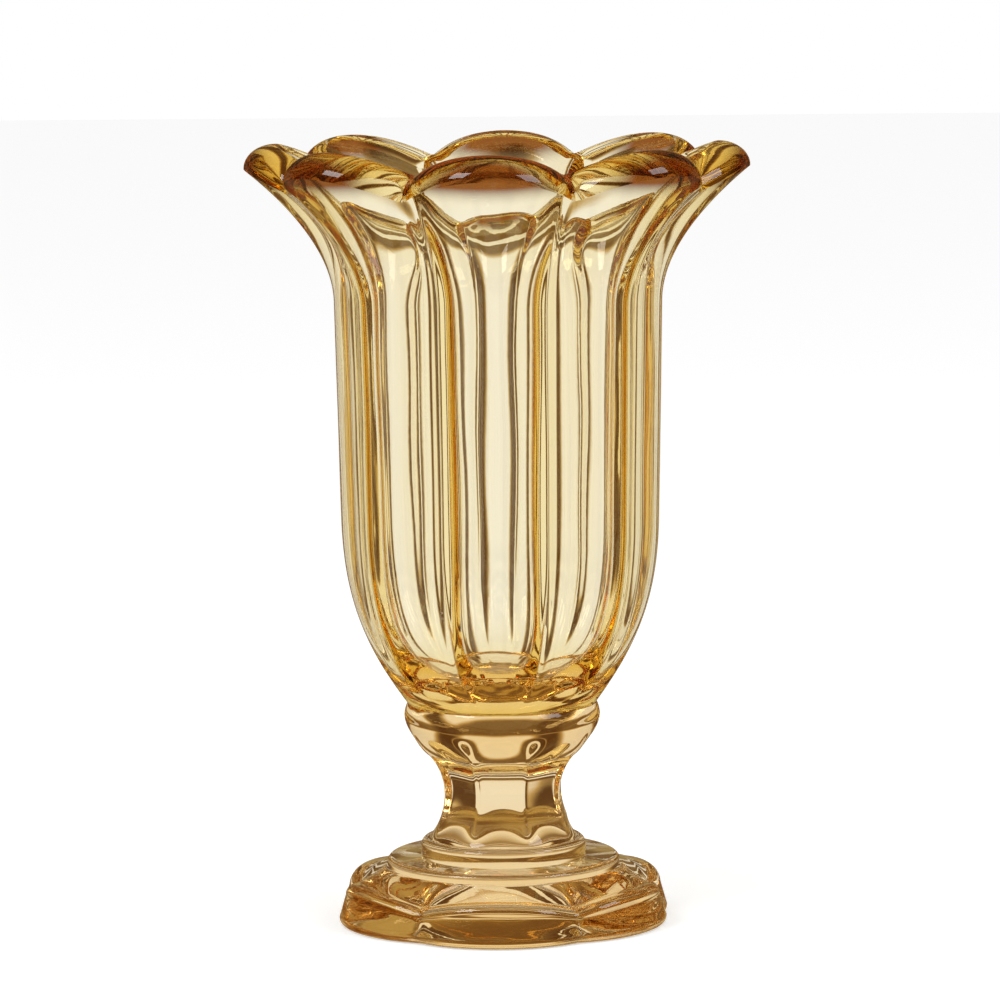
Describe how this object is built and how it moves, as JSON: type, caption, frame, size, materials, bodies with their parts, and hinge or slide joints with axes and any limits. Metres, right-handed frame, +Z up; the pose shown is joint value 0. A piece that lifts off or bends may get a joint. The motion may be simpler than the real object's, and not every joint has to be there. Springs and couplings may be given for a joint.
{
  "type": "footed flower vase",
  "caption": "Footed vase of thick amber glass with a fluted bowl that flares into a folded petal mouth, on a waisted flat-sided stem and a lobed foot.",
  "frame": {"origin": "middle of the flat face under the foot", "axes": "+Z up along the axis of the vase, -Y towards the front petal"},
  "size_m": [0.1926, 0.1926, 0.298],
  "materials": {
    "foot_glass": "fire-polished pressed glass, amber where it is thick",
    "shoulder_glass": "fire-polished pressed glass, amber",
    "stem_glass": "fire-polished pressed glass with flat sides, amber",
    "collar_glass": "fire-polished pressed glass, deep amber at its edge",
    "bowl_glass": "clear straw-yellow pressed glass, fire-polished, amber at the lip"
  },
  "bodies": {
    "root": {"foot": "foot_glass", "shoulder": "shoulder_glass", "stem": "stem_glass", "collar": "collar_glass", "bowl": "bowl_glass"}
  },
  "joints": []
}
